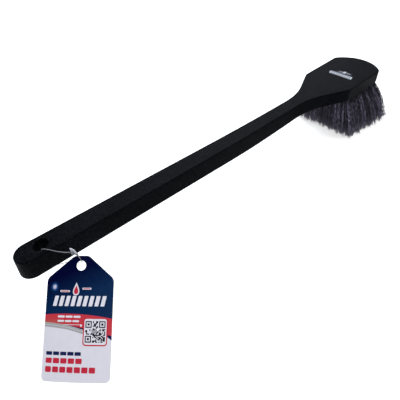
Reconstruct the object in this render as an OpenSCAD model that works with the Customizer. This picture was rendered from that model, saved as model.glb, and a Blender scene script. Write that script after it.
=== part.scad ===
// Long-handled wheel and wheel-arch brush with a paddle head, splayed soft tufts and a hang tag.
// Millimetres. +X runs from the handle's end to the toe of the head, +Z is up, and the tips of the
// tufts touch Z = 0. The origin is under the middle of the brush's length.

/* [Handle] */
// Length of the block's back from the handle's end to the toe
block_l = 500; // [480:1:520]
// Width of the handle just behind its rounded end
handle_w = 23.8; // [20:0.2:28]
// Width of the handle where the neck starts to flare
neck_w = 18.8; // [16:0.2:22]
// Thickness of the handle
handle_t = 22.6; // [20:0.2:26]
// Length of the rounded end, seen from above
end_l = 11.5; // [7:0.5:12]
// How far the handle's end leans out from its upper edge to its lower edge
end_lean = 3.5; // [0:0.5:4]
// Rounding of the upper edges
top_r = 1.3; // [1:0.1:3.5]
// Rounding of the lower edges
bottom_r = 3.4; // [2:0.1:5]

/* [Hang hole] */
// Diameter of the hang hole
hole_d = 13; // [12:0.5:14]
// Distance from the handle's end to the centre of the hang hole
hole_x = 23.5; // [22:0.5:26]
// Chamfer on both mouths of the hang hole
hole_chamfer = 0.8; // [0.2:0.1:1]

/* [Head] */
// Width of the head
head_w = 69.6; // [66:0.2:74]
// Thickness of the head
head_t = 17.3; // [16:0.1:20]
// Distance from the handle's end to the shoulders of the head
shoulder_x = 419.5; // [415:0.5:424]
// Distance from the handle's end to the toe corners
toe_x = 484; // [480:0.5:486]
// Upward tilt of the head
head_tilt = 2.8; // [0:0.1:4]

/* [Tufts] */
// Distance from the top of the handle down to the tips
tip_drop = 66; // [62:1:72]
// Diameter of a drilled tuft hole
tuft_hole_d = 5; // [4.5:0.1:5.5]
// Diameter of a tuft at its tip
tuft_tip_d = 11.6; // [9:0.1:11.8]
// How much the tufts spread along the head, tip against root
spread_x = 1.29; // [1.2:0.01:1.35]
// How much the tufts spread across the heel of the head, tip against root
spread_y = 1.39; // [1.3:0.01:1.5]
// How much that spread grows for each millimetre towards the toe
spread_gain = 0.00375; // [0:0.00025:0.004]

/* [Hang tag] */
// Width of the tag
tag_w = 56; // [50:1:58]
// Length of the tag
tag_l = 97; // [92:1:101]
// Thickness of the tag
tag_t = 0.8; // [0.4:0.1:1]
// Diameter of the hole in the tag
tag_hole_d = 8; // [7.6:0.1:9]
// Slope of the hanging tag, down from level
tag_slope = 35; // [33:0.5:37]
// Diameter of the nylon loop
loop_d = 0.7; // [0.5:0.1:0.9]

/* [Hidden] */
$fn = 64;

// Middle of the brush's length, toe tufts included
mid_x = 262.3;

// Neck: the handle's sides turn outwards on one long arc to the shoulders
neck_x = 371;
neck_r = 85;
shoulder_r = 10;
toe_corner_r = 8;
// The toe is one arc through both toe corners
toe_rise = block_l - toe_x;
toe_r = (pow(head_w / 2, 2) + pow(toe_rise, 2)) / (2 * toe_rise);
toe_centre = block_l - toe_r;
toe_angle = asin(head_w / 2 / toe_r);

// The end's lean dies out over this length
lean_l = 30;

// The back sweeps up over this stretch, and the underside thins over this one
sweep_start = 220;
sweep_l = 160;
thin_start = 250;
thin_end = 430;

// Tuft rows run round the head in U shapes: name, distance from the centre line, radius round the
// toe and the number of steps along one leg. The centre row is straight.
row_start = 425;
ROWS = [
    ["outer", 28.1, toe_r - 6.6, 9], ["second", 18.7, toe_r - 16, 7], ["third", 9.3, toe_r - 25.4, 6]
];
centre_row = [for (i = [0:4]) [row_start + 10 * i, 0]];
spread_from = 397.4;
// Gap between a tuft and the wall of its hole, and the tuft's depth in it
tuft_play = 0.05;
tuft_depth = 9;
// Extra length that each tuft has before it is cut level
trim = 4;
// Anchor at the bottom of each hole: width, thickness and height
anchor = [5.8, 0.45, 2];

// Route of the nylon loop from the lock's lower end, through the tag, under the handle, up through
// the hang hole and back to the lock's upper end; from the hole's centre on the top face
LOOP = [
    [20.2, -34.6, 2.5], [20.4, -35.4, 2.4], [20.3, -36.6, 2.1], [20.4, -37.9, 1.1], [20.4, -38.9, -0.2],
    [20.2, -39.6, -1.5], [20.4, -39.5, -2.5], [20.6, -39.1, -3.4], [20.7, -38.2, -4.6], [20.4, -36.2, -7.2],
    [19.8, -32.8, -10.6], [19, -28.6, -14.4], [18.2, -24.2, -18.2], [17.2, -20, -21.2], [15.8, -16.4, -23.3],
    [13.4, -13, -24.5], [10, -10.6, -25], [6, -8.8, -25], [2.6, -7.4, -24.6], [0.2, -6.4, -23.9],
    [-1.1, -5.6, -22.6], [-1.4, -5.4, -20.8], [-1.4, -5.4, -16], [-1.4, -5.4, -11], [-1.4, -5.4, -6],
    [-1.4, -5.4, -2.4], [-1.3, -5.5, -0.9], [-0.9, -6.1, 0.3], [0.1, -7.4, 1], [2.5, -10.6, 1.5],
    [5.4, -15.2, 2], [8.6, -20, 2.4], [12.2, -24.6, 2.75], [14.8, -27.4, 2.95], [16.3, -28.8, 3],
    [17.3, -29.4, 3]
];
loop_sides = 8;
// The lock runs from its free tip to its foot. Its outline is across and along it, and the loop's
// two ends go in at the lug on its side and at the foot.
lock_top = [17.6, -24.9, 3.5];
lock_foot = [20.4, -35.4, 2.4];
lock_t = 2.2;
LOCK = [
    [-0.5, 0], [0.5, 0], [1.1, 2.8], [1.3, 5.4], [1, 7.6], [0.9, 8.8], [0.9, 10.4],
    [-0.9, 10.4], [-0.9, 8.2], [-1.6, 7.2], [-2.3, 6], [-2.4, 5], [-1.8, 3.9], [-1.1, 2.6]
];

// The tag hangs from the loop, and its own axes turn about the centre of its hole
tag_hole = [18.55, -41.45, -4.4];
tag_yaw = -42;
tag_top = 8;
tag_shoulder = 10.4;
tag_flat = 12;
// Corner radii at the top, the shoulders and the foot
tag_r = [7, 6, 4];

TUFTS = [
    for (r = ROWS) for (i = [-r[3]:r[3]]) [str("tuft_", r[0], "_", i + r[3] + 1), u_point(r, i / r[3])],
    for (i = [0:len(centre_row) - 1]) [str("tuft_centre_", i + 1), centre_row[i]]
];

function unit(v) = v / norm(v);
function smooth(t) = t <= 0 ? 0 : t >= 1 ? 1 : t * t * (3 - 2 * t);

// Height of the back above the handle's top face
function back_z(x) =
    x < sweep_start ? 0
    : x < sweep_start + sweep_l ? pow(x - sweep_start, 2) / (2 * sweep_l) * tan(head_tilt)
    : (x - sweep_start - sweep_l / 2) * tan(head_tilt);
function block_t(x) = handle_t + (head_t - handle_t) * smooth((x - thin_start) / (thin_end - thin_start));
function under_z(x) = back_z(x) - block_t(x);

// Round stretch of n steps that replaces the corner b of the line a, b, c
function fillet(a, b, c, r, n) =
    let (u = unit(a - b), v = unit(c - b), half = acos(u * v) / 2, turn = 180 - 2 * half)
    let (centre = b + unit(u + v) * r / sin(half), reach = r / tan(half))
    let (p = b + u * reach - centre, q = b + v * reach - centre)
    [for (i = [0:n]) centre + (sin(turn * (1 - i / n)) * p + sin(turn * i / n) * q) / sin(turn)];

// One side of the block's outline, from the middle of the handle's end to the middle of the toe
function side_line() =
    let (
        heel = [end_l, handle_w / 2], neck = [neck_x, neck_w / 2],
        shoulder = [shoulder_x, head_w / 2], toe = [toe_x, head_w / 2],
        toe_arc = [
            for (i = [1:8]) let (a = toe_angle * (1 - i / 8)) [toe_centre + toe_r * cos(a), toe_r * sin(a)]
        ]
    )
    concat(
        [for (a = [0:15:75]) [end_l * (1 - cos(a)), handle_w / 2 * sin(a)]],
        [for (x = [end_l, 120, each [200:20:340]]) heel + (neck - heel) * (x - end_l) / (neck_x - end_l)],
        fillet(heel, neck, shoulder, neck_r, 8),
        [neck + (shoulder - neck) * 0.6],
        fillet(neck, shoulder, toe, shoulder_r, 4),
        fillet(shoulder, toe, toe_arc[0], toe_corner_r, 4),
        toe_arc
    );
function mirrored(line) = concat(line, [for (i = [len(line) - 2:-1:1]) [line[i].x, -line[i].y]]);

// The outline moved inwards by d
function inset(line, d) =
    let (n = len(line))
    [for (i = [0:n - 1]) let (t = unit(line[(i + 1) % n] - line[(i + n - 1) % n])) line[i] + d * [t.y, -t.x]];

// Point of a tuft row, from one heel of the U (t = -1) round the toe (t = 0) to the other (t = 1)
function u_point(row, t) =
    let (
        turn = asin(row[1] / row[2]), bend_x = toe_centre + row[2] * cos(turn),
        leg = bend_x - row_start, arc = row[2] * turn * PI / 180,
        s = (leg + arc) * (1 - abs(t)), a = turn * (1 - (s - leg) / arc), side = t < 0 ? -1 : 1
    )
    s < leg ? [row_start + s, side * row[1]] : [toe_centre + row[2] * cos(a), side * row[2] * sin(a)];

function tip_of(p) = [
    spread_from + (p.x - spread_from) * spread_x,
    p.y * (spread_y + spread_gain * (p.x - row_start)),
    -tip_drop
];
// Shift along the handle of a point at this depth below the back, near the leaning end
function lean(x, depth) = -end_lean * depth / handle_t * max(0, 1 - x / lean_l);

// Catmull-Rom curve through the points, with two steps for each span
function curve(p) = [
    for (i = [0:len(p) - 2], k = [0, 0.5])
        let (a = p[max(i - 1, 0)], b = p[i], c = p[i + 1], d = p[min(i + 2, len(p) - 1)])
        b + 0.5 * k * ((c - a) + k * ((2 * a - 5 * b + 4 * c - d) + k * (3 * b - a - 3 * c + d))),
    p[len(p) - 1]
];

// Everything is drawn with x from the handle's end and z from its top face, then moved to the frame
module in_frame() {
    translate([-mid_x, 0, tip_drop]) children();
}

// Closed solid through rings of equal length; a ring's points run clockwise seen from its start
module skin(rings, caps) {
    m = len(rings[0]);
    points = [for (r = rings) each r];
    walls = [
        for (k = [0:len(rings) - 2], j = [0:m - 1])
            let (a = k * m + j, b = k * m + (j + 1) % m)
                each [[b, a, a + m], [b, a + m, b + m]]
    ];
    polyhedron(points, concat(walls, caps));
}

module block_body() {
    line = mirrored(side_line());
    m = len(line);
    rings = [
        for (a = [0:22.5:90]) let (q = inset(line, top_r * (1 - sin(a))), drop = top_r * (1 - cos(a)))
            [for (p = q) [p.x + lean(p.x, drop), p.y, back_z(p.x) - drop]],
        for (a = [90:-22.5:0]) let (q = inset(line, bottom_r * (1 - sin(a))), rise = bottom_r * (1 - cos(a)))
            [for (p = q) [p.x + lean(p.x, handle_t - rise), p.y, under_z(p.x) + rise]]
    ];
    last = (len(rings) - 1) * m;
    caps = [
        for (i = [0:m / 2 - 1])
            let (u = i, v = i + 1, w = m - i - 1, x = (m - i) % m)
            each [[u, v, w, x], [last + x, last + w, last + v, last + u]]
    ];
    skin(rings, [for (c = caps) [for (k = [0:3]) if (c[k] != c[(k + 1) % 4]) c[k]]]);
}

// Moves to the bottom of a tuft's hole, with +Z down along the tuft
module along_tuft(p) {
    tip = tip_of(p);
    mouth = [p.x, p.y, under_z(p.x)];
    axis = unit(tip - mouth);
    translate(mouth - axis * (tuft_depth + anchor.z))
        rotate([0, acos(axis.z), atan2(axis.y, axis.x)]) children();
}

// Cone that chamfers a mouth of the hang hole, half of it outside the block
module mouth(d_low, d_high) {
    cylinder(h = 2 * hole_chamfer, d1 = d_low, d2 = d_high);
}

module handle_block() {
    color([0.12, 0.12, 0.13])
    in_frame() difference() {
        block_body();
        translate([hole_x, 0, -handle_t - 1]) cylinder(h = handle_t + 2, d = hole_d);
        translate([hole_x, 0, -hole_chamfer]) mouth(hole_d, hole_d + 4 * hole_chamfer);
        translate([hole_x, 0, -handle_t - hole_chamfer]) mouth(hole_d + 4 * hole_chamfer, hole_d);
        for (t = TUFTS) along_tuft(t[1]) cylinder(h = tuft_depth + anchor.z + bottom_r, d = tuft_hole_d);
    }
}

// One bundle: a straight root in its hole, then a cone cut level at the tips
module tuft(p) {
    root_r = tuft_hole_d / 2 - tuft_play;
    reach = norm(tip_of(p) - [p.x, p.y, under_z(p.x)]) + trim;
    color([0.3, 0.28, 0.34])
    in_frame() difference() {
        along_tuft(p) translate([0, 0, anchor.z]) rotate_extrude()
            polygon([
                [0, 0], [root_r, 0], [root_r, tuft_depth],
                [tuft_tip_d / 2, tuft_depth + reach], [0, tuft_depth + reach]
            ]);
        translate([toe_centre, 0, -tip_drop - head_w / 2])
            cube([3 * head_w, 2 * head_w, head_w], center = true);
    }
}

// Flat anchors that hold the folded bundles, one across the bottom of each hole
module tuft_anchors() {
    color([0.75, 0.75, 0.78])
    in_frame() for (t = TUFTS)
        along_tuft(t[1]) translate([-anchor.x / 2, -anchor.y / 2, 0]) cube(anchor);
}

module tag_loop() {
    line = curve(LOOP);
    n = len(line);
    rings = [
        for (i = [0:n - 1])
            let (
                t = unit(line[min(i + 1, n - 1)] - line[max(i - 1, 0)]),
                u = unit(cross(t, [0.8, 0.6, 0])), v = cross(t, u)
            )
            [
                for (k = [0:loop_sides - 1]) let (a = 360 * k / loop_sides)
                    line[i] + loop_d / 2 * (cos(a) * u - sin(a) * v)
            ]
    ];
    last = (n - 1) * loop_sides;
    color([0.9, 0.92, 0.94])
    in_frame() translate([hole_x, 0, 0])
        skin(rings, [[for (k = [0:loop_sides - 1]) k], [for (k = [loop_sides - 1:-1:0]) last + k]]);
}

// The clear lock that the loop's two ends are fixed in
module loop_lock() {
    axis = lock_foot - lock_top;
    l = norm(axis);
    color([0.85, 0.88, 0.9])
    in_frame() translate([hole_x, 0, 0] + lock_top)
        rotate([0, acos(axis.z / l), atan2(axis.y, axis.x)]) union() {
            rotate([90, 0, 90]) translate([0, 0, -lock_t / 2]) linear_extrude(lock_t) polygon(LOCK);
            translate([0, 0, l - 2]) cylinder(h = 2, d = lock_t);
        }
}

// Moves to the centre of the tag's hole, with +Y up the tag and +Z out of its printed face
module on_tag() {
    in_frame() translate([hole_x, 0, 0] + tag_hole) rotate([tag_slope, 0, tag_yaw]) children();
}

module tag_card() {
    foot = tag_top - tag_l;
    corners = [
        [0, tag_top], [tag_flat / 2, tag_top], [tag_w / 2, -tag_shoulder], [tag_w / 2, foot], [0, foot]
    ];
    right = [for (i = [1:3]) each fillet(corners[i - 1], corners[i], corners[i + 1], tag_r[i - 1], 5)];
    left = [for (i = [len(right) - 1:-1:0]) [-right[i].x, right[i].y]];
    color([0.1, 0.2, 0.4])
    on_tag() translate([0, 0, -tag_t / 2]) difference() {
        linear_extrude(tag_t) polygon(concat(right, left));
        translate([0, 0, -1]) cylinder(h = tag_t + 2, d = tag_hole_d);
    }
}

handle_block();
tuft_anchors();
tag_loop();
loop_lock();
tag_card();
for (t = TUFTS) tuft(t[1]);
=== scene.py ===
import math

import bpy
import numpy as np
from mathutils import Matrix, Vector


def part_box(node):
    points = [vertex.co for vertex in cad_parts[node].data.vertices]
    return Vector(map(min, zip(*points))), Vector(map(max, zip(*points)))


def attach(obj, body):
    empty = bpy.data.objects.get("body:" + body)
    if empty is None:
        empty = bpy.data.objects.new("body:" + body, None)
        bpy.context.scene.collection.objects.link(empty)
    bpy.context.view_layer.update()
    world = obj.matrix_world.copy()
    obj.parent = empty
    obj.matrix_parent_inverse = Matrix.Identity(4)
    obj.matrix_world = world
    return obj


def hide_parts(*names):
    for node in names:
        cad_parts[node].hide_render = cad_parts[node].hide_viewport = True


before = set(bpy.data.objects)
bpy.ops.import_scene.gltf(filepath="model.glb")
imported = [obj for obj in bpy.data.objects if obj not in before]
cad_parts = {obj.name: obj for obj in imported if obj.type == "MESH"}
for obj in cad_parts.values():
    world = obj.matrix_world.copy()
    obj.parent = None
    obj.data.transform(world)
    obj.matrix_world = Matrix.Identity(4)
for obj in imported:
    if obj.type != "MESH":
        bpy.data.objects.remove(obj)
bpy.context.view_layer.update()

# The block's own coordinates are millimetres from the handle's end and from its top face.
BLOCK_L, TIP_DROP = 500.0, 66.0
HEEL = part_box("handle_block")[1][0] - BLOCK_L / 1000
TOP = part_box("tuft_centre_1")[0][2] + TIP_DROP / 1000


def place(points):
    """Points in the block's millimetres as metres in the frame."""
    points = np.asarray(points, dtype=float)
    return points / 1000 + np.array([HEEL, 0.0, TOP])


def unit(v):
    """Vectors of length 1."""
    v = np.asarray(v, dtype=float)
    return v / np.linalg.norm(v, axis=-1, keepdims=True)


# ---------------------------------------------------------------- camera

VIEW_TARGET = Vector(place([158.67, -52.69, 0.0]))
VIEW_AZIMUTH = math.radians(55.64)
VIEW_ELEVATION = math.radians(44.51)
VIEW_ROLL = math.radians(6.37)
VIEW_DISTANCE = 0.3112

forward = Vector((
    math.cos(VIEW_ELEVATION) * math.cos(VIEW_AZIMUTH),
    math.cos(VIEW_ELEVATION) * math.sin(VIEW_AZIMUTH),
    -math.sin(VIEW_ELEVATION),
))
right = forward.cross(Vector((0, 0, 1))).normalized()
down = forward.cross(right)
rolled_right = math.cos(VIEW_ROLL) * right + math.sin(VIEW_ROLL) * down
rolled_down = math.cos(VIEW_ROLL) * down - math.sin(VIEW_ROLL) * right
camera_data = bpy.data.cameras.new("camera")
camera_data.lens = 30.0
camera_data.sensor_width = 36.0
camera = bpy.data.objects.new("camera", camera_data)
bpy.context.scene.collection.objects.link(camera)
axes = Matrix((rolled_right, -rolled_down, -forward)).transposed()
camera.matrix_world = Matrix.Translation(VIEW_TARGET - VIEW_DISTANCE * forward) @ axes.to_4x4()
bpy.context.scene.camera = camera


# ---------------------------------------------------------------- mesh helpers

def new_object(name, verts, faces, smooth=True, sharp=None):
    """Mesh object from points in metres and a list of faces."""
    mesh = bpy.data.meshes.new(name)
    mesh.from_pydata([tuple(v) for v in verts], [], [tuple(int(i) for i in f) for f in faces])
    mesh.validate()
    if smooth:
        mesh.shade_smooth()
    if sharp is not None:
        mesh.set_sharp_from_angle(angle=math.radians(sharp))
    obj = bpy.data.objects.new(name, mesh)
    bpy.context.scene.collection.objects.link(obj)
    return obj


def ring_faces(count, sides, closed=True):
    """Quads between count rings of so many points."""
    faces = []
    for k in range(count - 1):
        for j in range(sides if closed else sides - 1):
            a = k * sides + j
            b = k * sides + (j + 1) % sides
            faces.append((a, b, b + sides, a + sides))
    return faces


def grid_rim(rows, columns):
    """Indices round the rim of a grid with so many rows of points and columns of faces."""
    sides = columns + 1
    rim = list(range(sides))
    rim += [k * sides + columns for k in range(1, rows)]
    rim += [(rows - 1) * sides + k for k in range(columns - 1, -1, -1)]
    rim += [k * sides for k in range(rows - 2, 0, -1)]
    return rim


def circle_angles(sides):
    """Angles of a circle's points, in radians."""
    return [2 * math.pi * k / sides for k in range(sides)]


def cut(obj, cutter):
    """Takes the cutter's volume out of obj and removes the cutter."""
    step = obj.modifiers.new("cut", "BOOLEAN")
    step.operation = "DIFFERENCE"
    step.solver = "EXACT"
    step.object = cutter
    bpy.context.view_layer.update()
    result = obj.evaluated_get(bpy.context.evaluated_depsgraph_get())
    mesh = bpy.data.meshes.new_from_object(result)
    old = obj.data
    obj.modifiers.clear()
    obj.data = mesh
    mesh.name = old.name
    bpy.data.objects.remove(cutter)


def add_float(mesh, name, values):
    """Stores one number for each point of the mesh."""
    layer = mesh.attributes.new(name, "FLOAT", "POINT")
    layer.data.foreach_set("value", np.asarray(values, dtype=np.float32).ravel())


# ---------------------------------------------------------------- material helpers

class Paint:
    """Small helper for building one node material."""

    def __init__(self, name):
        self.material = bpy.data.materials.new(name)
        self.material.use_nodes = True
        self.nodes = self.material.node_tree.nodes
        self.links = self.material.node_tree.links
        self.shader = self.nodes["Principled BSDF"]

    def set(self, **values):
        for name, value in values.items():
            self.shader.inputs[name.replace("_", " ")].default_value = value
        return self

    def link(self, output, target):
        self.links.new(output, target)

    def object_point(self):
        return self.nodes.new("ShaderNodeTexCoord").outputs["Object"]

    def attribute(self, name):
        node = self.nodes.new("ShaderNodeAttribute")
        node.attribute_name = name
        return node.outputs["Fac"]

    def noise(self, size, detail=2.0, rough=0.5, point=None, stretch=None):
        """Noise whose blobs are about size metres across."""
        point = point or self.object_point()
        if stretch:
            mapping = self.nodes.new("ShaderNodeMapping")
            mapping.inputs["Scale"].default_value = stretch
            self.link(point, mapping.inputs["Vector"])
            point = mapping.outputs["Vector"]
        node = self.nodes.new("ShaderNodeTexNoise")
        node.inputs["Scale"].default_value = 1.0 / size
        node.inputs["Detail"].default_value = detail
        node.inputs["Roughness"].default_value = rough
        self.link(point, node.inputs["Vector"])
        return node.outputs["Fac"]

    def math(self, operation, a, b=0.0):
        node = self.nodes.new("ShaderNodeMath")
        node.operation = operation
        for socket, value in zip(node.inputs, (a, b)):
            if isinstance(value, (int, float)):
                socket.default_value = value
            else:
                self.link(value, socket)
        return node.outputs["Value"]

    def spread(self, value, low, high, to_low, to_high):
        """Maps low..high to to_low..to_high and stops at both ends."""
        node = self.nodes.new("ShaderNodeMapRange")
        node.inputs["From Min"].default_value = low
        node.inputs["From Max"].default_value = high
        node.inputs["To Min"].default_value = to_low
        node.inputs["To Max"].default_value = to_high
        self.link(value, node.inputs["Value"])
        return node.outputs["Result"]

    def mix(self, amount, a, b, blend="MIX"):
        """Colour a where amount is 0 and b where it is 1."""
        node = self.nodes.new("ShaderNodeMix")
        node.data_type = "RGBA"
        node.blend_type = blend
        for index, value in ((0, amount), (6, a), (7, b)):
            if isinstance(value, (int, float)):
                node.inputs[index].default_value = value
            elif isinstance(value, tuple):
                node.inputs[index].default_value = (*value, 1.0)
            else:
                self.link(value, node.inputs[index])
        return node.outputs[2]

    def bump(self, height, distance, strength=1.0, below=None):
        node = self.nodes.new("ShaderNodeBump")
        node.inputs["Strength"].default_value = strength
        node.inputs["Distance"].default_value = distance
        self.link(height, node.inputs["Height"])
        if below:
            self.link(below, node.inputs["Normal"])
        return node.outputs["Normal"]

    def use(self, socket, output):
        self.link(output, self.shader.inputs[socket])
        return self


def paint_block():
    """Satin black moulding with a sand-blasted grain, faint scuffs and slightly rubbed patches."""
    p = Paint("block_plastic")
    p.set(Specular_IOR_Level=0.013)
    fine = p.noise(0.0005, 1.0)
    grain = p.noise(0.0008, 1.0, 0.5)
    cloud = p.noise(0.035, 3.0)
    scuff = p.noise(0.004, 3.0, 0.7, stretch=(0.15, 1.0, 1.0))
    tone = p.math("ADD", p.math("MULTIPLY", grain, 0.85), p.math("MULTIPLY", cloud, 0.15))
    base = p.mix(p.spread(tone, 0.46, 0.66, 0.0, 1.0), (0.0, 0.0, 0.0004), (0.0056, 0.0066, 0.0094))
    rubbed = p.spread(scuff, 0.64, 0.78, 0.0, 0.5)
    p.use("Base Color", p.mix(rubbed, base, (0.007, 0.007, 0.008)))
    p.use("Roughness", p.spread(p.math("ADD", tone, p.math("MULTIPLY", rubbed, -0.25)), 0.3, 0.7, 0.42, 0.56))
    p.use("Normal", p.bump(fine, 0.00008, 0.6, p.bump(grain, 0.0006, 1.0)))
    return p.material


def paint_bristle():
    """Soft synthetic filament: streaky violet grey along it and paler at the tips, with painted shade that
    makes it dark at the root, where the block shades it.
    """
    p = Paint("bristle_filament")
    p.set(Roughness=0.6, Specular_IOR_Level=0.2)
    along = p.attribute("along")
    tone = p.attribute("tone")
    streak = p.spread(p.noise(0.0022, 2.0, stretch=(1.0, 1.0, 0.6)), 0.4, 0.6, 0.3, 1.0)
    shade = p.math("MULTIPLY", p.math("ADD", tone, 0.05), streak)
    body = p.mix(shade, (0.0012, 0.001, 0.0038), (0.28, 0.255, 0.375))
    # Painted shade: the filaments darken towards their roots, standing for the block's shadow over them.
    root = p.mix(p.spread(along, 0.0, 0.32, 0.85, 0.0), body, (0.003, 0.0025, 0.005))
    tip = p.mix(p.spread(along, 0.7, 1.0, 0.0, 0.5), root, (0.17, 0.16, 0.21))
    p.use("Base Color", tip)
    p.use("Normal", p.bump(p.noise(0.0005, 1.0, stretch=(1.0, 1.0, 0.15)), 0.00005, 0.4))
    return p.material


def paint_steel():
    """Drawn steel strip of the anchors."""
    p = Paint("anchor_steel")
    p.set(Metallic=1.0)
    line = p.noise(0.0006, 2.0, stretch=(0.1, 1.0, 1.0))
    p.use("Base Color", p.mix(line, (0.36, 0.36, 0.37), (0.55, 0.55, 0.56)))
    p.use("Roughness", p.spread(line, 0.3, 0.7, 0.25, 0.45))
    p.use("Normal", p.bump(line, 0.00003, 0.4))
    return p.material


def paint_nylon(name, cloud_low, cloud_high, clear):
    """Clear nylon, slightly milky."""
    p = Paint(name)
    p.set(Transmission_Weight=clear, IOR=1.45, Specular_IOR_Level=0.5)
    milk = p.noise(0.0016, 2.0)
    p.use("Base Color", p.mix(milk, cloud_low, cloud_high))
    p.use("Roughness", p.spread(milk, 0.3, 0.7, 0.12, 0.3))
    p.use("Normal", p.bump(p.noise(0.0009, 2.0), 0.00008, 0.5))
    return p.material


# ---------------------------------------------------------------- nylon loop and its lock

# Route of the loop in millimetres from the centre of the hang hole on the top face, as in the CAD
# source: from the lock's lower end, through the tag, under the handle, up through the hang hole
# and back to the lock's upper end.
HOLE_X = 23.5
LOOP = [
    (20.2, -34.6, 2.5), (20.4, -35.4, 2.4), (20.3, -36.6, 2.1), (20.4, -37.9, 1.1), (20.4, -38.9, -0.2),
    (20.2, -39.6, -1.5), (20.4, -39.5, -2.5), (20.6, -39.1, -3.4), (20.7, -38.2, -4.6),
    (20.4, -36.2, -7.2), (19.8, -32.8, -10.6), (19.0, -28.6, -14.4), (18.2, -24.2, -18.2),
    (17.2, -20.0, -21.2), (15.8, -16.4, -23.3), (13.4, -13.0, -24.5), (10.0, -10.6, -25.0),
    (6.0, -8.8, -25.0), (2.6, -7.4, -24.6), (0.2, -6.4, -23.9), (-1.1, -5.6, -22.6),
    (-1.4, -5.4, -20.8), (-1.4, -5.4, -16.0), (-1.4, -5.4, -11.0), (-1.4, -5.4, -6.0),
    (-1.4, -5.4, -2.4), (-1.3, -5.5, -0.9), (-0.9, -6.1, 0.3), (0.1, -7.4, 1.0), (2.5, -10.6, 1.5),
    (5.4, -15.2, 2.0), (8.6, -20.0, 2.4), (12.2, -24.6, 2.75), (14.8, -27.4, 2.95),
    (16.3, -28.8, 3.0), (17.3, -29.4, 3.0),
]
LOOP_D = 0.7
LOCK_TOP = np.array([17.6, -24.9, 3.5])
LOCK_FOOT = np.array([20.4, -35.4, 2.4])
# Outline of the lock across and along it: a pointed free tip, a lug on one side and a narrow foot
LOCK = [
    (0.0, -0.1), (0.7, 1.2), (1.1, 2.8), (1.3, 5.0), (1.0, 7.6), (0.8, 9.6), (0.5, 10.7), (-0.5, 10.7),
    (-0.8, 9.6), (-0.9, 8.3), (-1.6, 7.2), (-2.3, 6.1), (-2.3, 5.0), (-1.8, 3.9), (-1.1, 2.6), (-0.6, 1.1),
]
LOCK_T, LOCK_RIM_R, BEAD_SIDES = 2.2, 0.42, 24
# Profiles along the lock and out from its axis: a turned collar round the foot and a low rib
LOCK_COLLAR = ((8.5, 0.7), (8.62, 1.0), (8.85, 1.12), (9.3, 1.12), (9.5, 1.0), (9.6, 0.7))
LOCK_RIB = ((1.2, 0.1), (1.6, 0.25), (2.4, 0.36), (6.6, 0.36), (7.4, 0.25), (7.8, 0.1))


def curve_through(points, steps):
    """Catmull-Rom curve through the points."""
    p = np.asarray(points, dtype=float)
    out = []
    for i in range(len(p) - 1):
        a = p[max(i - 1, 0)]
        b = p[i]
        c = p[i + 1]
        d = p[min(i + 2, len(p) - 1)]
        for k in np.arange(steps) / steps:
            bend = 2 * a - 5 * b + 4 * c - d
            twist = 3 * b - a - 3 * c + d
            out.append(b + 0.5 * k * ((c - a) + k * (bend + k * twist)))
    out.append(p[-1])
    return np.array(out)


def make_loop():
    """The nylon loop, a thin round strand along its route."""
    route = place(curve_through(LOOP, 4) + np.array([HOLE_X, 0.0, 0.0]))
    data = bpy.data.curves.new("nylon_loop", "CURVE")
    data.dimensions = "3D"
    data.bevel_depth = LOOP_D / 2000
    data.bevel_resolution = 3
    data.use_fill_caps = True
    spline = data.splines.new("POLY")
    spline.points.add(len(route) - 1)
    for point, at in zip(spline.points, route):
        point.co = (*at, 1.0)
    loop = bpy.data.objects.new("nylon_loop", data)
    bpy.context.scene.collection.objects.link(loop)
    data.materials.append(paint_nylon("loop_nylon", (0.16, 0.16, 0.18), (0.27, 0.27, 0.3), 0.4))
    return loop


def make_lock():
    """Clear snap lock: a softly rounded plate with a lug, a collar at its foot and a raised rib."""
    axis = unit(LOCK_FOOT - LOCK_TOP)
    across = unit(np.array([-axis[1], axis[0], 0.0]))
    thin = np.cross(across, axis)
    line = curve_through(LOCK + [LOCK[0]], 4)[:-1]
    turn = np.roll(line, -1, axis=0) - np.roll(line, 1, axis=0)
    outward = unit(np.stack([turn[:, 1], -turn[:, 0]], axis=1))
    sides = len(line)
    rings = []
    for a in np.radians(np.linspace(-90, 90, 9)):
        inner = line - outward * LOCK_RIM_R * (1 - math.cos(a))
        height = (LOCK_T / 2 - LOCK_RIM_R) * np.sign(round(a, 3)) + LOCK_RIM_R * math.sin(a)
        rings.append(np.column_stack([inner, np.full(sides, height)]))
    points = np.vstack(rings)
    faces = ring_faces(len(rings), sides)
    last = (len(rings) - 1) * sides
    faces.append(tuple(range(sides - 1, -1, -1)))
    faces.append(tuple(range(last, last + sides)))
    for profile, squash in ((LOCK_COLLAR, 1.0), (LOCK_RIB, 3.5)):
        first = len(points)
        for along, radius in profile:
            for a in circle_angles(BEAD_SIDES):
                bead = [[radius * math.cos(a), along, radius * squash * math.sin(a)]]
                points = np.vstack([points, bead])
        faces += [tuple(first + i for i in reversed(f)) for f in ring_faces(len(profile), BEAD_SIDES)]
        faces.append(tuple(range(first, first + BEAD_SIDES)))
        end = first + (len(profile) - 1) * BEAD_SIDES
        faces.append(tuple(range(end + BEAD_SIDES - 1, end - 1, -1)))
    moved = LOCK_TOP + points[:, :1] * across + points[:, 1:2] * axis + points[:, 2:] * thin
    lock = new_object("snap_lock", place(moved + np.array([HOLE_X, 0.0, 0.0])), faces, sharp=50)
    lock.data.materials.append(paint_nylon("lock_nylon", (0.1, 0.1, 0.12), (0.22, 0.215, 0.25), 0.4))
    return lock


loop = make_loop()
lock = make_lock()
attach(lock, "loop")
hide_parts("loop_lock")
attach(loop, "loop")
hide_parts("tag_loop")


# ---------------------------------------------------------------- block

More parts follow.
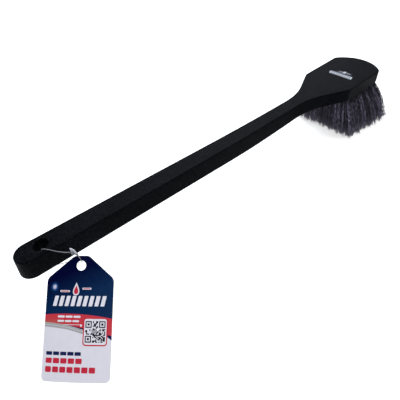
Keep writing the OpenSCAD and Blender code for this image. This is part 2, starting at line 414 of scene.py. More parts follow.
HANDLE_W, NECK_W, HANDLE_T, END_L, END_LEAN, LEAN_L = 23.8, 18.8, 22.6, 11.5, 3.5, 30.0
TOP_R, BOTTOM_R = 1.3, 3.4
HOLE_D, HOLE_ROUND, HOLE_SIDES, SOCKET_SIDES = 13.0, 0.9, 72, 24
HEAD_W, HEAD_T, SHOULDER_X, TOE_X, TILT = 69.6, 17.3, 419.5, 484.0, math.tan(math.radians(2.8))
NECK_X, NECK_R, SHOULDER_R, TOE_CORNER_R = 371.0, 85.0, 10.0, 8.0
TOE_RISE = BLOCK_L - TOE_X
TOE_R = ((HEAD_W / 2) ** 2 + TOE_RISE ** 2) / (2 * TOE_RISE)
TOE_CENTRE = BLOCK_L - TOE_R
TOE_ANGLE = math.asin(HEAD_W / 2 / TOE_R)
SWEEP_START, SWEEP_L, THIN_START, THIN_END = 220.0, 160.0, 250.0, 430.0


def smooth(t):
    """Smooth step from 0 to 1."""
    t = np.clip(t, 0.0, 1.0)
    return t * t * (3 - 2 * t)


def back_z(x):
    """Height of the back above the handle's top face."""
    swept = (x - SWEEP_START) ** 2 / (2 * SWEEP_L) * TILT
    straight = (x - SWEEP_START - SWEEP_L / 2) * TILT
    return np.where(x < SWEEP_START, 0.0, np.where(x < SWEEP_START + SWEEP_L, swept, straight))


def under_z(x):
    """Height of the underside."""
    thickness = HANDLE_T + (HEAD_T - HANDLE_T) * smooth((x - THIN_START) / (THIN_END - THIN_START))
    return back_z(x) - thickness


def fillet(a, b, c, r, n):
    """Arc of n steps that rounds the corner b of the line a, b, c."""
    u = unit(a - b)
    v = unit(c - b)
    half = math.acos(float(u @ v)) / 2
    turn = math.pi - 2 * half
    centre = b + unit(u + v) * r / math.sin(half)
    reach = r / math.tan(half)
    p = b + u * reach - centre
    q = b + v * reach - centre
    arc = []
    for i in range(n + 1):
        t = i / n
        arc.append(centre + (math.sin(turn * (1 - t)) * p + math.sin(turn * t) * q) / math.sin(turn))
    return arc


def side_line():
    """One side of the block's outline, from the handle's end to the middle of the toe."""
    heel = np.array([END_L, HANDLE_W / 2])
    neck = np.array([NECK_X, NECK_W / 2])
    shoulder = np.array([SHOULDER_X, HEAD_W / 2])
    toe = np.array([TOE_X, HEAD_W / 2])
    line = []
    for a in np.radians(np.arange(0, 90, 4.5)):
        line.append(np.array([END_L * (1 - math.cos(a)), HANDLE_W / 2 * math.sin(a)]))
    for x in [END_L, 30.0, 60.0, 90.0, 120.0, 150.0, 180.0, *np.arange(200.0, 346.0, 8.0)]:
        line.append(heel + (neck - heel) * (x - END_L) / (NECK_X - END_L))
    line += fillet(heel, neck, shoulder, NECK_R, 28)
    for t in (0.52, 0.6, 0.68, 0.76):
        line.append(neck + (shoulder - neck) * t)
    line += fillet(neck, shoulder, toe, SHOULDER_R, 14)
    for t in (0.2, 0.35, 0.5, 0.65, 0.8):
        line.append(shoulder + (toe - shoulder) * t)
    toe_arc = []
    for a in np.linspace(TOE_ANGLE, 0.0, 33)[3:]:
        toe_arc.append(np.array([TOE_CENTRE + TOE_R * math.cos(a), TOE_R * math.sin(a)]))
    line += fillet(shoulder, toe, toe_arc[0], TOE_CORNER_R, 14)
    line += toe_arc[1:]
    kept = [line[0]]
    for p in line[1:]:
        if p[0] > kept[-1][0] + 0.02 or p[1] < kept[-1][1] - 0.02:
            kept.append(p)
    return np.array(kept)


def inset(line, d):
    """The closed outline moved inwards by d."""
    along = unit(np.roll(line, -1, axis=0) - np.roll(line, 1, axis=0))
    return line + d * np.stack([along[:, 1], -along[:, 0]], axis=1)


def lean(line, depth):
    """The outline at this depth below the back: the handle's end leans out towards its lower edge."""
    shift = END_LEAN * depth / HANDLE_T * np.clip(1 - line[:, 0] / LEAN_L, 0.0, None)
    return line - np.column_stack([shift, np.zeros(len(line))])


def make_block():
    """The moulding: rounded rings round its outline, a hang hole and a drilled hole for each tuft."""
    half = side_line()
    outline = np.vstack([half, (half * [1, -1])[-2:0:-1]])
    m = len(outline)
    rings = []
    for a in np.radians(np.linspace(0, 90, 9)):
        q = inset(outline, TOP_R * (1 - math.sin(a)))
        drop = TOP_R * (1 - math.cos(a))
        rings.append(np.column_stack([lean(q, drop), back_z(q[:, 0]) - drop]))
    for a in np.radians(np.linspace(90, 0, 11)):
        q = inset(outline, BOTTOM_R * (1 - math.sin(a)))
        rise = BOTTOM_R * (1 - math.cos(a))
        rings.append(np.column_stack([lean(q, HANDLE_T - rise), under_z(q[:, 0]) + rise]))
    faces = [tuple(reversed(f)) for f in ring_faces(len(rings), m)]
    last = (len(rings) - 1) * m
    for i in range(m // 2):
        strip = [i, i + 1, m - i - 1, (m - i) % m]
        strip = list(dict.fromkeys(strip))
        faces.append(tuple(reversed(strip)))
        faces.append(tuple(last + k for k in strip))
    block = new_object("brush_block", place(np.vstack(rings)), faces)

    verts = []
    faces = []
    profile = [(-HANDLE_T - 2, HOLE_D / 2 + 3)]
    for a in np.radians(np.linspace(0, 90, 8)):
        rise = HOLE_ROUND * (1 - math.cos(a))
        profile.append((-HANDLE_T + rise, HOLE_D / 2 + HOLE_ROUND * (1 - math.sin(a))))
    profile += [(-z - HANDLE_T, r) for z, r in reversed(profile)]
    for z, r in profile:
        for a in circle_angles(HOLE_SIDES):
            verts.append((HOLE_X + r * math.cos(a), r * math.sin(a), z))
    faces += ring_faces(len(profile), HOLE_SIDES)
    last = (len(profile) - 1) * HOLE_SIDES
    faces.append(tuple(range(HOLE_SIDES - 1, -1, -1)))
    faces.append(tuple(range(last, last + HOLE_SIDES)))
    for name, root in tufts:
        tip = tip_of(root)
        mouth = np.array([root[0], root[1], float(under_z(root[0]))])
        axis = unit(tip - mouth)
        wide = unit(np.cross(axis, [0.0, 1.0, 0.0]))
        thin = np.cross(axis, wide)
        first = len(verts)
        for depth in (-TUFT_DEPTH - 2.0, BOTTOM_R):
            for a in circle_angles(SOCKET_SIDES):
                verts.append(mouth + axis * depth + HOLE_R * (math.cos(a) * wide + math.sin(a) * thin))
        faces += [tuple(first + i for i in f) for f in ring_faces(2, SOCKET_SIDES)]
        faces.append(tuple(range(first + SOCKET_SIDES - 1, first - 1, -1)))
        faces.append(tuple(range(first + SOCKET_SIDES, first + 2 * SOCKET_SIDES)))
    cut(block, new_object("block_cutter", place(verts), faces, smooth=False))
    block.data.shade_smooth()
    block.data.set_sharp_from_angle(angle=math.radians(28))
    block.data.materials.clear()
    block.data.materials.append(paint_block())
    return block


# ---------------------------------------------------------------- tufts

ROW_START = 425.0
ROWS = (("outer", 28.1, TOE_R - 6.6, 9), ("second", 18.7, TOE_R - 16.0, 7), ("third", 9.3, TOE_R - 25.4, 6))
SPREAD_FROM, SPREAD_X, SPREAD_Y, SPREAD_GAIN = 397.4, 1.29, 1.39, 0.00375
TUFT_DEPTH, HOLE_R, TIP_R = 9.0, 2.5, 8.4


def u_point(row, t):
    """Point of a tuft row, from one heel of the U (t = -1) round the toe to the other (t = 1)."""
    _, across, radius, _ = row
    turn = math.asin(across / radius)
    leg = TOE_CENTRE + radius * math.cos(turn) - ROW_START
    arc = radius * turn
    s = (leg + arc) * (1 - abs(t))
    side = -1 if t < 0 else 1
    if s < leg:
        return np.array([ROW_START + s, side * across])
    a = turn * (1 - (s - leg) / arc)
    return np.array([TOE_CENTRE + radius * math.cos(a), side * radius * math.sin(a)])


def tip_of(root):
    """Centre of a tuft's tip: the tufts splay outwards from their roots."""
    return np.array([
        SPREAD_FROM + (root[0] - SPREAD_FROM) * SPREAD_X,
        root[1] * (SPREAD_Y + SPREAD_GAIN * (root[0] - ROW_START)),
        -TIP_DROP,
    ])


tufts = []
for row in ROWS:
    for i in range(-row[3], row[3] + 1):
        tufts.append((f"tuft_{row[0]}_{i + row[3] + 1}", u_point(row, i / row[3])))
for i in range(5):
    tufts.append((f"tuft_centre_{i + 1}", np.array([ROW_START + 10 * i, 0.0])))


def tubes(paths, radii, wide, thin):
    """Points and faces of three-sided tubes along many paths of equal length."""
    count, steps, _ = paths.shape
    angles = np.radians([90.0, 210.0, 330.0])
    around = np.cos(angles)[:, None] * wide + np.sin(angles)[:, None] * thin
    points = paths[:, :, None, :] + radii[:, :, None, None] * around[None, None, :, :]
    base = (np.arange(count)[:, None, None] * steps + np.arange(steps - 1)[None, :, None]) * 3
    side = np.arange(3)[None, None, :]
    after = (side + 1) % 3
    quads = np.stack([base + side, base + after, base + 3 + after, base + 3 + side], axis=-1).reshape(-1, 4)
    first = np.arange(count)[:, None] * steps * 3
    roots = first + np.array([2, 1, 0])
    ends = first + (steps - 1) * 3 + np.array([0, 1, 2])
    return points.reshape(-1, 3), quads, np.vstack([roots, ends])


def mesh_of(name, verts, quads, triangles):
    """Mesh from large arrays of points, quads and triangles."""
    mesh = bpy.data.meshes.new(name)
    corners = np.concatenate([quads.ravel(), triangles.ravel()]).astype(np.int32)
    starts = np.concatenate([
        np.arange(len(quads)) * 4,
        len(quads) * 4 + np.arange(len(triangles)) * 3,
    ]).astype(np.int32)
    mesh.vertices.add(len(verts))
    mesh.vertices.foreach_set("co", verts.astype(np.float32).ravel())
    mesh.loops.add(len(corners))
    mesh.loops.foreach_set("vertex_index", corners)
    mesh.polygons.add(len(starts))
    mesh.polygons.foreach_set("loop_start", starts)
    mesh.update(calc_edges=True)
    mesh.validate()
    mesh.shade_smooth()
    return mesh


STRANDS, PER_STRAND, STEPS = 78, 3, 22
FILAMENTS = STRANDS * PER_STRAND
FILAMENT_RADII = [0.2, 0.19, 0.12]
FLAG_RADII = [0.08, 0.07, 0.06, 0.035]
FLAGS = 3
FLOOR_GAP = 0.1
# How deep in its hole a filament starts, the share of filaments that stray, and how far they do
ROOT_DEPTH = 6.0
STRAY_SHARE, STRAY = 0.06, 0.34


def filament_paths(root, strand, random):
    """Paths of one bundle's filaments, the two directions across it, and how far each one strays."""
    tip = tip_of(root)
    mouth = np.array([root[0], root[1], float(under_z(root[0]))])
    axis = unit(tip - mouth)
    reach = float(np.linalg.norm(tip - mouth))
    wide = unit(np.cross(axis, [0.0, 1.0, 0.0]))
    thin = np.cross(axis, wide)
    across = np.stack([wide, thin])
    turn = random.uniform(0, 2 * math.pi, STRANDS)
    out = np.sqrt(random.uniform(0, 1, STRANDS))
    disc = np.column_stack([out * np.cos(turn), out * np.sin(turn)])[strand]
    stray = (random.uniform(0, 1, FILAMENTS) < STRAY_SHARE)[:, None] * random.normal(0, STRAY, (FILAMENTS, 2))
    spread = (disc + random.normal(0, 0.028, (FILAMENTS, 2)) + stray) * TIP_R
    start = mouth - axis * ROOT_DEPTH + (disc * (HOLE_R - 0.25)) @ across
    level = np.abs(random.normal(0, 1.5, FILAMENTS)) + np.abs(random.normal(0, 1.1, STRANDS))[strand]
    level += 3.0 * np.linalg.norm(stray, axis=1)
    end = tip + spread @ across
    end += axis * ((-TIP_DROP + 0.15 + level - end[:, 2]) / axis[2])[:, None]
    # The bundle fans out soon after its hole and droops: the splay is strongest near the block
    splay = np.array([tip[0] - mouth[0], tip[1] - mouth[1], 0.0]) * 0.2
    first = start + axis * (ROOT_DEPTH + reach * 0.2) + (spread * 0.5) @ across + splay * 0.7
    second = mouth + axis * reach * 0.58 + (spread * 1.05) @ across + splay * 0.75
    t = along_path()[None, :, None]
    paths = (
        (1 - t) ** 3 * start[:, None] + 3 * (1 - t) ** 2 * t * first[:, None]
        + 3 * (1 - t) * t ** 2 * second[:, None] + t ** 3 * end[:, None]
    )
    # Filaments of one strand are crimped together, and each one has a small crimp of its own
    shared = random.normal(0, 0.85, (STRANDS, STEPS, 2))[strand]
    crimp = (shared + random.normal(0, 0.22, (FILAMENTS, STEPS, 2))) * t ** 0.7
    paths = paths + crimp[..., :1] * wide + crimp[..., 1:] * thin
    paths[..., 2] = np.maximum(paths[..., 2], -TIP_DROP + FLOOR_GAP + 0.02)
    return paths, across, np.linalg.norm(stray, axis=1)


def along_path():
    """Places of a filament's points, from 0 in its hole to 1 at its tip."""
    return np.linspace(0, 1, STEPS) ** 0.9


def flag_paths(paths, across, random):
    """One fine split end for each filament, leaving it before its tip."""
    heading = unit(paths[:, -1] - paths[:, -3])
    side = random.normal(0, 0.9, (FILAMENTS, 2)) @ across
    length = random.uniform(1.0, 4.0, FILAMENTS)[:, None]
    s = np.linspace(0, 1, len(FLAG_RADII))[None, :, None]
    base = paths[:, -3]
    end = paths[:, -1] + heading * length * 0.25 + side
    end[:, 2] = np.maximum(end[:, 2], -TIP_DROP + FLOOR_GAP)
    flags = (1 - s) * base[:, None] + s * end[:, None]
    flags = flags + (s * (1 - s)) * (paths[:, -2] - 0.5 * (base + end))[:, None]
    flags[..., 2] = np.maximum(flags[..., 2], -TIP_DROP + FLOOR_GAP)
    return flags


def make_tuft(name, root, random, material):
    """A folded bundle of soft filaments: straight in its hole, then splayed, crimped and flagged."""
    strand = np.repeat(np.arange(STRANDS), PER_STRAND)
    paths, across, stray = filament_paths(root, strand, random)
    strand_tone = random.choice([0.0, 0.08, 0.2, 0.5, 1.0], STRANDS, p=[0.32, 0.26, 0.18, 0.12, 0.12])
    tone = np.clip(strand_tone[strand] + random.normal(0, 0.07, FILAMENTS), 0, 1)
    tone = np.where(stray > 0.2, 0.95, tone)
    t = along_path()
    sets = [(paths, np.interp(t, [0, 0.7, 1], FILAMENT_RADII), np.clip(t * 1.12 - 0.12, 0, 1), tone)]
    flag_tone = np.clip(tone + 0.25, 0, 1)
    for _ in range(FLAGS):
        flags = flag_paths(paths, across, random)
        sets.append((flags, np.array(FLAG_RADII), np.linspace(0.75, 1.0, len(FLAG_RADII)), flag_tone))
    verts = []
    quads = []
    caps = []
    along = []
    tones = []
    offset = 0
    for lines, radius, place_along, line_tone in sets:
        radii = np.repeat(radius[None], FILAMENTS, axis=0)
        tube_verts, tube_quads, tube_caps = tubes(lines, radii, *across)
        verts.append(tube_verts)
        quads.append(tube_quads + offset)
        caps.append(tube_caps + offset)
        along.append(np.tile(np.repeat(place_along, 3), FILAMENTS))
        tones.append(np.repeat(line_tone, 3 * len(radius)))
        offset += len(tube_verts)
    mesh = mesh_of(name, place(np.vstack(verts)), np.vstack(quads), np.vstack(caps))
    add_float(mesh, "along", np.concatenate(along))
    add_float(mesh, "tone", np.concatenate(tones))
    mesh.materials.append(material)
    obj = bpy.data.objects.new(name, mesh)
    bpy.context.scene.collection.objects.link(obj)
    return obj


block = make_block()
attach(block, "brush")
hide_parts("handle_block")

bristle_material = paint_bristle()
for number, (node, root) in enumerate(tufts):
    name = node.replace("tuft", "bristles")
    piece = make_tuft(name, root, np.random.default_rng(70 + number), bristle_material)
    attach(piece, "brush")
    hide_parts(node)

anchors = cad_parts["tuft_anchors"]
anchors.data.materials.clear()
anchors.data.materials.append(paint_steel())


# ---------------------------------------------------------------- hang tag

TAG_HOLE = np.array([HOLE_X + 18.55, -41.45, -4.4])
TAG_W, TAG_L, TAG_TOP, TAG_SHOULDER, TAG_FLAT, TAG_HOLE_D, CARD_T = 56.0, 97.0, 8.0, 10.4, 12.0, 8.0, 0.42
TAG_COLUMNS, PUNCH_SIDES = 40, 64
# How far printed shapes stand proud of a surface and reach into it, and how wide their mesh's faces are
PRINT_T, PRINT_SUNK, FACE_W = 0.03, 0.02, 1.6
TAG_SLOPE, TAG_YAW = math.radians(35.0), math.radians(-42.0)
TAG_AXES = np.array(Matrix.Rotation(TAG_YAW, 3, "Z") @ Matrix.Rotation(TAG_SLOPE, 3, "X"))


def curl(u, v):
    """How far the card bows out of its plane, v counting down from the hole."""
    droop = 1.1 * (u / (TAG_W / 2)) ** 2 * smooth(v / 60.0)
    return 0.15 - droop + 0.5 * np.sin((v + TAG_TOP) / TAG_L * math.pi)


def on_tag(u, v, lift=0.0):
    """Point of the tag's printed face, u to the right and v down from the hole, in the frame."""
    u = np.asarray(u, dtype=float)
    v = np.asarray(v, dtype=float)
    local = np.stack([u, -v, CARD_T / 2 + lift + curl(u, v)], axis=-1)
    return place(local @ TAG_AXES.T + TAG_HOLE)


def tag_outline():
    """Right half of the tag's outline, from the top down, its corners rounded."""
    corners = [
        np.array([0.0, TAG_TOP]), np.array([TAG_FLAT / 2, TAG_TOP]), np.array([TAG_W / 2, -TAG_SHOULDER]),
        np.array([TAG_W / 2, TAG_TOP - TAG_L]), np.array([0.0, TAG_TOP - TAG_L]),
    ]
    line = [corners[0]]
    for i, r in ((1, 7.0), (2, 6.0), (3, 4.0)):
        line += fillet(corners[i - 1], corners[i], corners[i + 1], r, 12)
    line.append(corners[4])
    return np.array(line)


def field_edge(u):
    """Lower edge of the blue field."""
    return 37.8 + 0.0026 * (u + 9.0) ** 2


def band_edge(u):
    """Lower edge of the red band."""
    return 47.9 + 0.175 * u + 0.0022 * u ** 2


def sliver_edge(u):
    """Lower edge of the dark sliver under the band, which widens to the right."""
    return band_edge(u) + np.interp(u, [-9.0, 4.0, 24.0, 28.0], [0.0, 1.1, 1.6, 3.2])


def paint_tag():
    """Gloss-laminated card: a dark blue field with a painted glare spot, a red band, grey stripes and pale
    paper.
    """
    p = Paint("tag_print")
    p.set(Specular_IOR_Level=0.035)
    height = p.attribute("tag_v")
    across = p.attribute("tag_u")
    mottle = p.noise(0.006, 3.0)
    fade = p.math("ADD", height, p.math("MULTIPLY", across, 0.42))
    blue = p.mix(p.spread(fade, 2.0, 26.0, 0.0, 1.0), (0.0, 0.001, 0.023), (0.0016, 0.0172, 0.064))
    # Painted highlight: a bright bluish-white glare spot with a blue halo on the blue field, standing for a
    # lamp's reflection.
    painted_glare = p.attribute("painted_glare")
    blue = p.mix(p.spread(painted_glare, 1.2, 3.6, 1.0, 0.0), blue, (0.006, 0.07, 0.25))
    blue = p.mix(p.spread(painted_glare, 0.6, 2.1, 1.0, 0.0), blue, (0.6, 0.58, 0.68))
    low = p.attribute("below_field")
    pink = p.math("MULTIPLY", p.spread(across, -27.0, -6.0, 1.0, 0.0), p.spread(low, 3.0, 6.5, 0.0, 1.0))
    red = p.mix(pink, (0.47, 0.036, 0.052), (0.36, 0.095, 0.07))
    paper = p.mix(mottle, (0.6, 0.585, 0.655), (0.66, 0.645, 0.72))
    grey = p.mix(mottle, (0.28, 0.28, 0.29), (0.36, 0.36, 0.37))
    colour = p.mix(p.math("GREATER_THAN", low, 0.0), blue, red)
    colour = p.mix(p.math("GREATER_THAN", p.attribute("below_band"), 0.0), colour, (0.004, 0.01, 0.06))
    under = p.attribute("below_sliver")
    colour = p.mix(p.math("GREATER_THAN", under, 0.0), colour, paper)
    for start, stop in ((0.1, 1.5), (1.75, 3.3)):
        stripe = p.math("MULTIPLY", p.math("GREATER_THAN", under, start), p.math("LESS_THAN", under, stop))
        stripe = p.math("MULTIPLY", stripe, p.math("LESS_THAN", across, 8.0))
        colour = p.mix(stripe, colour, grey)
    dust = p.spread(p.noise(0.0007, 2.0, 0.6), 0.78, 0.84, 0.0, 0.25)
    p.use("Base Color", p.mix(dust, colour, (0.4, 0.4, 0.42)))
    p.use("Roughness", p.spread(mottle, 0.3, 0.7, 0.24, 0.36))
    p.use("Normal", p.bump(p.noise(0.012, 2.0), 0.00025, 0.25, p.bump(p.noise(0.0006, 1.0), 0.00003, 0.2)))
    return p.material


def paint_card():
    """Plain uncoated board on the back and edges of the tag."""
    p = Paint("tag_board")
    p.set(Specular_IOR_Level=0.3)
    fibre = p.noise(0.0009, 3.0, 0.6, stretch=(1.0, 0.4, 1.0))
    p.use("Base Color", p.mix(fibre, (0.62, 0.61, 0.6), (0.76, 0.75, 0.73)))
    p.use("Roughness", p.spread(fibre, 0.3, 0.7, 0.7, 0.85))
    p.use("Normal", p.bump(fibre, 0.00005, 0.4))
    return p.material


def paint_ink(name, low, high, rough=0.25):
    """Printed ink with slight unevenness."""
    p = Paint(name)
    p.set(Specular_IOR_Level=0.06)
    mottle = p.noise(0.003, 3.0)
    p.use("Base Color", p.mix(mottle, low, high))
    p.use("Roughness", p.spread(mottle, 0.3, 0.7, rough, rough + 0.12))
    p.use("Normal", p.bump(p.noise(0.0006, 1.0), 0.00003, 0.2))
    return p.material


def make_tag():
    """The card: a bowed sheet with a punched hole, printed on its face and plain board elsewhere."""
    edge = tag_outline()
    rows = []
    for a, b in zip(edge[:-1], edge[1:]):
        steps = max(1, int(round(abs(a[1] - b[1]) / FACE_W)))
        for k in range(steps):
            rows.append(a + (b - a) * k / steps)
    rows.append(edge[-1])
    rows = [r for r in rows if r[0] > 0.01]
    sides = TAG_COLUMNS + 1
    u = np.array([[r[0] * (2 * k / TAG_COLUMNS - 1) for k in range(sides)] for r in rows])
    v = np.array([[-r[1]] * sides for r in rows])
    face_points = np.stack([u, -v, CARD_T / 2 + curl(u, v)], axis=-1).reshape(-1, 3)
    back_points = face_points - np.array([0.0, 0.0, CARD_T])
    n = len(face_points)
    grid = ring_faces(len(rows), sides, closed=False)
    faces = [tuple(reversed(f)) for f in grid] + [tuple(n + i for i in f) for f in grid]
    rim = grid_rim(len(rows), TAG_COLUMNS)
    for a, b in zip(rim, rim[1:] + rim[:1]):
        faces.append((a, b, n + b, n + a))
    points = np.vstack([face_points, back_points])
    tag = new_object("hang_tag", place(points @ TAG_AXES.T + TAG_HOLE), faces)
    cutter = []
    for z in (-4.0, 4.0):
        for a in circle_angles(PUNCH_SIDES):
            cutter.append((TAG_HOLE_D / 2 * math.cos(a), TAG_HOLE_D / 2 * math.sin(a), z))
    cutter = place(np.array(cutter) @ TAG_AXES.T + TAG_HOLE)
    sides_of_hole = ring_faces(2, PUNCH_SIDES)
    sides_of_hole.append(tuple(range(PUNCH_SIDES - 1, -1, -1)))
    sides_of_hole.append(tuple(range(PUNCH_SIDES, 2 * PUNCH_SIDES)))
    cut(tag, new_object("tag_cutter", cutter, sides_of_hole, smooth=False))
    mesh = tag.data
    mesh.shade_smooth()
    mesh.set_sharp_from_angle(angle=math.radians(30))
    mesh.materials.clear()
    mesh.materials.append(paint_card())
    mesh.materials.append(paint_tag())
    facing = TAG_AXES[:, 2]
    for polygon in mesh.polygons:
        polygon.material_index = 1 if float(np.dot(polygon.normal, facing)) > 0.8 else 0
    co = np.empty(len(mesh.vertices) * 3, dtype=np.float32)
    mesh.vertices.foreach_get("co", co)
    local = ((co.reshape(-1, 3) - np.array([HEEL, 0.0, TOP])) * 1000 - TAG_HOLE) @ TAG_AXES
    u = local[:, 0]
    v = -local[:, 1]
    add_float(mesh, "tag_u", u)
    add_float(mesh, "tag_v", v)
    add_float(mesh, "below_field", v - field_edge(u))
    add_float(mesh, "below_band", v - band_edge(u))
    add_float(mesh, "below_sliver", v - sliver_edge(u))
    # Distance from the centre of the painted glare spot on the blue field.
    add_float(mesh, "painted_glare", np.hypot(u + 21.3, (v - 17.0) * 0.85))
    return tag


def bar(u0, v0, u1, v1, r=0.0, slant=0.0):
    """Rows (v, left, right) of a bar with rounded corners, leaning by slant from foot to head."""
    rows = []
    steps = 5 if r else 1
    for k in range(steps):
        a = math.pi / 2 * k / steps
        rows.append((v0 + r * (1 - math.cos(a)), r * (1 - math.sin(a))))
    middle = max(1, int((v1 - v0 - 2 * r) / 2))
    for k in range(middle + 1):
        rows.append((v0 + r + (v1 - v0 - 2 * r) * k / middle, 0.0))
    for k in range(steps - 1, -1, -1):
        a = math.pi / 2 * k / steps
        rows.append((v1 - r * (1 - math.cos(a)), r * (1 - math.sin(a))))
    out = []
    for v, inward in rows:
        shift = slant * (v1 - v) / (v1 - v0)
        if not out or v > out[-1][0] + 1e-6:
            out.append((v, u0 + inward + shift, u1 - inward + shift))
    return out


def bar_row(left, end, top, foot, count, gap, r, slant=0.0):
    """A row of equal bars with equal gaps."""
    wide = (end - left + gap) / count - gap
    row = []
    for k in range(count):
        start = left + k * (wide + gap)
        row.append(bar(start, top, start + wide, foot, r, slant))
    return row


def drop(cu, cv, r):
    """Rows of a water drop, its point at the top."""
    rows = []
    for a in np.linspace(0, math.pi, 18):
        half = max(0.02, r * math.sin(a) * math.sin(a / 2) ** 1.6)
        rows.append((cv - r * 1.35 * math.cos(a), cu - half, cu + half))
    return rows


def make_print(name, shapes, surface, material, body):
    """Thin printed shapes that follow a surface, each a grid of small faces with a rim."""
    verts = []
    faces = []
    for rows in shapes:
        columns = max(1, int(math.ceil(max(b - a for _, a, b in rows) / FACE_W)))
        sides = columns + 1
        u = np.array([np.linspace(a, b, sides) for _, a, b in rows])
        v = np.array([[height] * sides for height, _, _ in rows])
        first = len(verts)
        n = u.size
        verts += list(surface(u, v, PRINT_T).reshape(-1, 3))
        verts += list(surface(u, v, -PRINT_SUNK).reshape(-1, 3))
        grid = ring_faces(len(rows), sides, closed=False)
        faces += [tuple(first + i for i in reversed(f)) for f in grid]
        faces += [tuple(first + n + i for i in f) for f in grid]
        rim = grid_rim(len(rows), columns)
        for a, b in zip(rim, rim[1:] + rim[:1]):
            faces.append((first + a, first + b, first + n + b, first + n + a))
    obj = new_object(name, verts, faces, smooth=False)
    obj.data.materials.append(material)
    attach(obj, body)
    return obj


tag = make_tag()
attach(tag, "tag")
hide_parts("tag_card")

white_ink = paint_ink("ink_white", (0.6, 0.59, 0.66), (0.7, 0.69, 0.76))
head_ink = paint_ink("ink_head", (0.34, 0.35, 0.42), (0.5, 0.51, 0.58))
red_ink = paint_ink("ink_red", (0.42, 0.015, 0.04), (0.5, 0.025, 0.05))
blue_ink = paint_ink("ink_blue", (0.006, 0.01, 0.05), (0.012, 0.018, 0.08))
dark_ink = paint_ink("ink_dark", (0.006, 0.006, 0.012), (0.014, 0.014, 0.022))


def raised(base):
    """The tag's face, lifted by base millimetres."""
    return lambda u, v, lift: on_tag(u, v, base + lift)


# Generic marks stand where the tag has its printing: a drop over even bars, then rows of plain bars
white_shapes = [drop(-3.0, 18.4, 3.9)]
for left, end, height in ((-16.4, -8.2, 19.6), (2.2, 9.6, 17.6)):
    white_shapes.append(bar(left, height, end, height + 1.5, 0.7))
white_shapes += bar_row(-22.0, 21.0, 24.0, 32.0, 9, 1.8, 0.5, slant=1.7)
white_shapes += bar_row(-17.0, 2.0, 39.3, 40.9, 3, 0.8, 0.6)
white_shapes += bar_row(-17.0, 1.0, 42.7, 44.2, 3, 0.8, 0.6)
white_shapes += [bar(-12.2, 46.0, 1.8, 46.35, 0.1), bar(1.9, 45.8, 3.7, 47.6, 0.85)]
make_print("tag_marks_white", white_shapes, raised(0.0), white_ink, "tag")
red_shapes = [drop(-3.0, 19.1, 2.6), bar(-15.6, 20.05, -8.9, 20.7, 0.3), bar(2.9, 18.05, 8.9, 18.7, 0.3)]
make_print("tag_marks_red", red_shapes, raised(PRINT_T), red_ink, "tag")
PANEL_U, PANEL_V, PANEL_W, PANEL_H = 5.6, 41.6, 18.0, 19.4
make_print(
    "tag_panel_edge",
    [bar(PANEL_U - 0.9, PANEL_V - 0.3, PANEL_U + PANEL_W + 0.9, PANEL_V + PANEL_H + 1.0, 2.6)],
    raised(0.0), red_ink, "tag",
)
make_print(
    "tag_panel", [bar(PANEL_U, PANEL_V, PANEL_U + PANEL_W, PANEL_V + PANEL_H, 1.8)],
    raised(PRINT_T), white_ink, "tag",
)

# A plain checker of random cells with three corner squares: it holds no data
CELLS = 19
CODE_W = 16.2
cell = CODE_W / CELLS
code_u = PANEL_U + (PANEL_W - CODE_W) / 2
code_v = PANEL_V + 1.6
pick = np.random.default_rng(11).uniform(0, 1, (CELLS, CELLS)) < 0.52
code_shapes = []
for i in range(CELLS):
    for j in range(CELLS):
        corner = (i < 7 and j < 7) or (i < 7 and j > CELLS - 8) or (i > CELLS - 8 and j < 7)
        if corner or not pick[i, j]:
            continue
        cu = code_u + j * cell
        cv = code_v + i * cell
        code_shapes.append(bar(cu, cv, cu + cell, cv + cell))
for i, j in ((0, 0), (0, CELLS - 6), (CELLS - 6, 0)):
    cu = code_u + j * cell
    cv = code_v + i * cell
    wide = 6 * cell
    for a, b, c, d in ((0, 0, wide, cell), (0, wide - cell, wide, wide), (0, cell, cell, wide - cell),
                       (wide - cell, cell, wide, wide - cell), (2 * cell, 2 * cell, 4 * cell, 4 * cell)):
        code_shapes.append(bar(cu + a, cv + b, cu + c, cv + d))
make_print("tag_code", code_shapes, raised(2 * PRINT_T), dark_ink, "tag")
make_print("tag_lines_blue", bar_row(-25.0, 4.0, 66.6, 69.3, 5, 0.8, 0.5), raised(0.0), blue_ink, "tag")
red_shapes = bar_row(-25.0, 5.0, 71.4, 75.3, 5, 1.0, 0.7) + bar_row(-25.0, 16.0, 77.7, 82.0, 7, 1.0, 0.7)
make_print("tag_lines_red", red_shapes, raised(0.0), red_ink, "tag")


# ---------------------------------------------------------------- print on the head

HEAD_PRINT_X, HEAD_PRINT_Y = 446.0, -5.0


def on_head(u, v, lift):
    """Point on the back of the head: u across towards the near side, v down towards the handle."""
    x = HEAD_PRINT_X - np.asarray(v, dtype=float)
    y = HEAD_PRINT_Y - np.asarray(u, dtype=float)
    return place(np.stack([x, y, back_z(x) + lift], axis=-1))


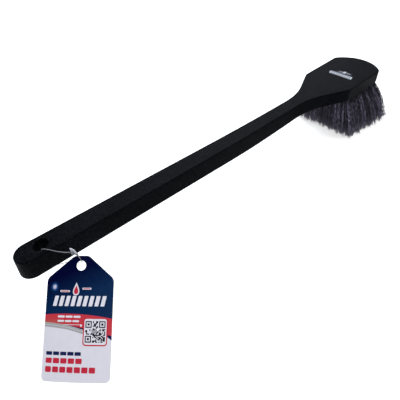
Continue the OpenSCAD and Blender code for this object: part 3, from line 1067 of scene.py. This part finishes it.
head_shapes = [drop(-2.0, -7.4, 2.4), bar(-9.4, -6.4, -4.6, -5.6, 0.3), bar(1.4, -7.0, 7.6, -6.2, 0.3)]
head_shapes += bar_row(-18.0, 14.5, -1.8, 4.8, 10, 2.0, 0.4, slant=-1.4)
make_print("head_marks", head_shapes, on_head, head_ink, "brush")


# ---------------------------------------------------------------- floor and light

def paint_floor():
    """White studio floor that glows a little, so that it reads as a plain white ground."""
    p = Paint("studio_floor")
    p.set(Roughness=0.9, Specular_IOR_Level=0.1, Emission_Strength=0.6)
    p.shader.inputs["Emission Color"].default_value = (1.0, 1.0, 1.0, 1.0)
    cloud = p.noise(0.4, 2.0)
    p.use("Base Color", p.mix(cloud, (0.6, 0.6, 0.6), (0.62, 0.62, 0.62)))
    return p.material


FLOOR = 12.0
floor_corners = [(-FLOOR, -FLOOR, 0), (FLOOR, -FLOOR, 0), (FLOOR, FLOOR, 0), (-FLOOR, FLOOR, 0)]
floor = new_object("floor", floor_corners, [(0, 1, 2, 3)], smooth=False)
floor.data.materials.append(paint_floor())


def add_light(name, at, to, size, power, colour=(1.0, 1.0, 1.0)):
    """Rectangular light at one point, aimed at another."""
    data = bpy.data.lights.new(name, "AREA")
    data.shape = "RECTANGLE"
    data.size = size[0]
    data.size_y = size[1]
    data.energy = power
    data.color = colour
    light = bpy.data.objects.new(name, data)
    bpy.context.scene.collection.objects.link(light)
    light.location = at
    light.rotation_euler = (Vector(to) - Vector(at)).to_track_quat("-Z", "Y").to_euler()


add_light("sheen", (0.9, 1.35, 1.6), (0.0, 0.0, 0.03), (2.0, 1.6), 128.0, (0.88, 0.95, 1.0))
add_light("edge", (0.5, -0.4, 1.1), (0.0, 0.0, 0.03), (0.35, 0.35), 5.0)
add_light("toe", (1.3, -0.75, 0.5), (0.15, 0.0, 0.03), (0.8, 0.5), 2.0)
add_light("front", (-0.75, -0.8, 1.15), (-0.15, -0.05, 0.04), (1.0, 0.8), 9.0)

world = bpy.data.worlds.new("studio")
world.use_nodes = True
world.node_tree.nodes["Background"].inputs["Color"].default_value = (1.0, 1.0, 1.0, 1.0)
world.node_tree.nodes["Background"].inputs["Strength"].default_value = 0.15
bpy.context.scene.world = world
bpy.context.scene.view_settings.view_transform = "Standard"
